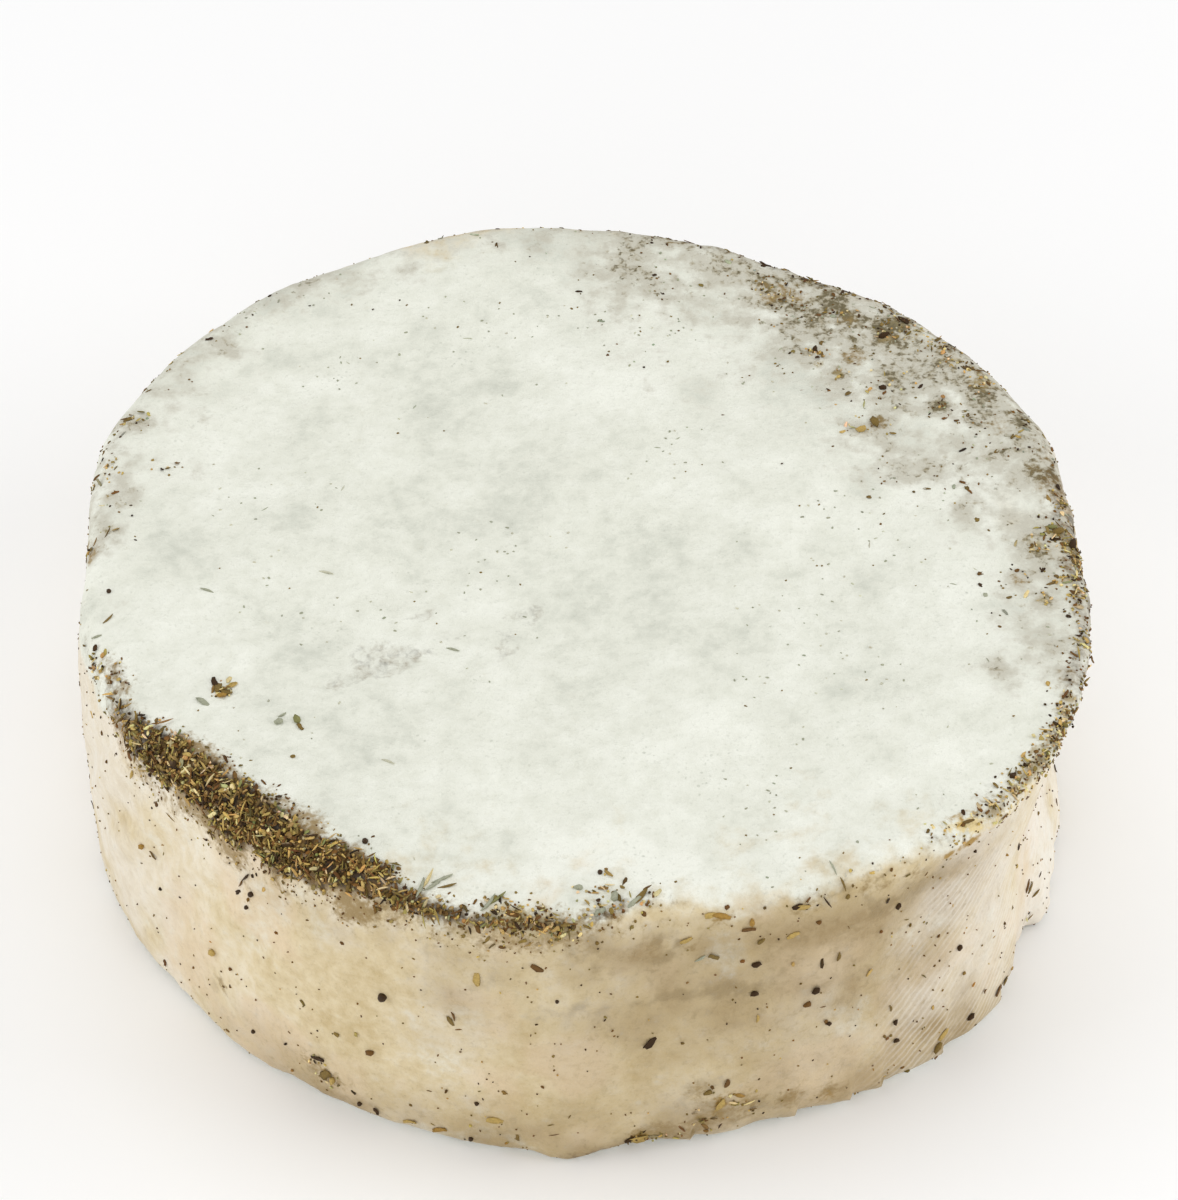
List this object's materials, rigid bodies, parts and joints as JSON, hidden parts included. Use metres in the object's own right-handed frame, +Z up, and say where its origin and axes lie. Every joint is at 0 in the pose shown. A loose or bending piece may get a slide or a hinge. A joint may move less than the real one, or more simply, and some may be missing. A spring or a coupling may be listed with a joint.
{
  "type": "herb goat cheese wheel",
  "caption": "Whole round wheel of soft goat cheese with a pale bloomy rind and dried herbs round its rim, resting on its flat base.",
  "frame": {"origin": "middle of the flat base the wheel rests on, under the middle of its box", "axes": "+Z up through the wheel, -Y towards the viewer, +X to the viewer's right"},
  "size_m": [0.1982, 0.2022, 0.0671],
  "materials": {
    "rind": "soft dull bloomy mould, white-grey on top and beige and slightly waxy round the side",
    "dried_herbs": "dull crumbled dry leaf in olive, brown, straw and grey-green"
  },
  "bodies": {
    "root": {"cheese_wheel": "rind"}
  },
  "joints": []
}
